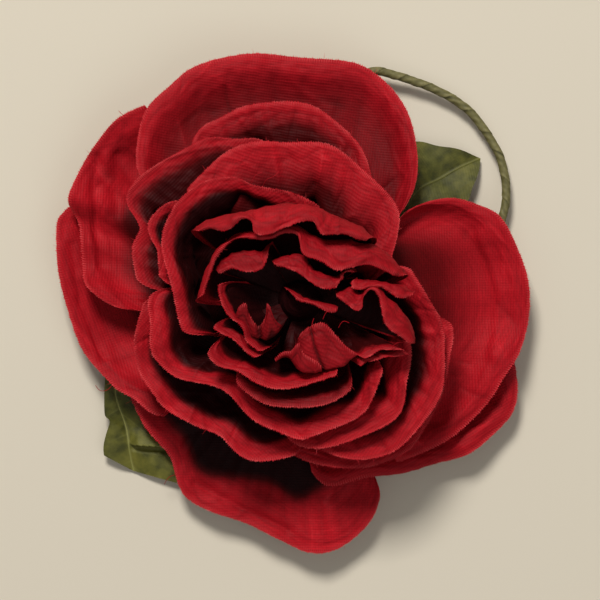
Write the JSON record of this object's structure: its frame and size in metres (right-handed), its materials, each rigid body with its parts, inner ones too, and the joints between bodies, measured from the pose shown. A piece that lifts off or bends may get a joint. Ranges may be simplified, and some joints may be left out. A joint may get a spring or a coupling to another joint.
{
  "type": "flower hair clip",
  "caption": "Fabric garden rose with layered frayed petals, two cloth leaves and a taped wire stem, sewn to a felt-backed sprung hair clip.",
  "frame": {"origin": "under the middle of the whole thing, on the plane it lies on", "axes": "+Z out of the bloom's face, +Y towards the petal that hides the stem's root, +X along the clip from its thumb tail to its nose"},
  "size_m": [0.1204, 0.1264, 0.047],
  "materials": {
    "petal_cloth": "matt woven",
    "core_cloth": "matt woven",
    "stiffener": "matt",
    "felt": "felted",
    "leaf_cloth": "matt woven",
    "leaf_wire": "matt",
    "bare_wire": "drawn",
    "floral_tape": "waxed crepe",
    "clip_steel": "plated",
    "pin_steel": "plated",
    "spring_steel": "drawn",
    "thread": "twisted"
  },
  "bodies": {
    "flower": {"felt_backing": "felt", "fixed_jaw": "clip_steel", "heart_petal_left": "petal_cloth", "heart_petal_low": "petal_cloth", "heart_petal_right": "petal_cloth", "hinge_pin": "pin_steel", "leaf_left": "leaf_cloth", "leaf_right": "leaf_cloth", "leaf_wire_left": "leaf_wire", "leaf_wire_right": "leaf_wire", "middle_petal_back": "petal_cloth", "middle_petal_curled": "petal_cloth", "middle_petal_left": "petal_cloth", "middle_petal_left_low": "petal_cloth", "middle_petal_left_strip": "petal_cloth", "middle_petal_right": "petal_cloth", "middle_petal_right_inner": "petal_cloth", "middle_petal_right_outer": "petal_cloth", "middle_petal_top": "petal_cloth", "middle_petal_upper_left": "petal_cloth", "outer_petal_bottom": "petal_cloth", "outer_petal_left": "petal_cloth", "outer_petal_lower_right": "petal_cloth", "outer_petal_right": "petal_cloth", "outer_petal_top": "petal_cloth", "outer_petal_upper_left": "petal_cloth", "petal_core": "core_cloth", "ruffle_bottom": "petal_cloth", "ruffle_bottom_outer": "petal_cloth", "ruffle_centre_strip": "petal_cloth", "ruffle_centre_top": "petal_cloth", "ruffle_left": "petal_cloth", "ruffle_left_loop": "petal_cloth", "ruffle_left_outer": "petal_cloth", "ruffle_right": "petal_cloth", "ruffle_right_fold": "petal_cloth", "ruffle_right_low": "petal_cloth", "ruffle_right_low_outer": "petal_cloth", "ruffle_top": "petal_cloth", "ruffle_top_outer": "petal_cloth", "stem_tape": "floral_tape", "stem_wire": "bare_wire", "stiffener_disc": "stiffener", "thread_wrap_1": "thread", "thread_wrap_2": "thread", "torsion_spring": "spring_steel"},
    "lever": {"lever_jaw": "clip_steel"}
  },
  "joints": [
    {"name": "clip_hinge", "type": "hinge", "parent": "flower", "child": "lever", "pos_m": [-0.01026, 0.00091, 0.008], "axis": [0, 1, 0], "range_deg": [0, 20], "stiffness_Nm_per_rad": 0.1, "springref_deg": -45.84, "deforming": ["torsion_spring"]}
  ]
}
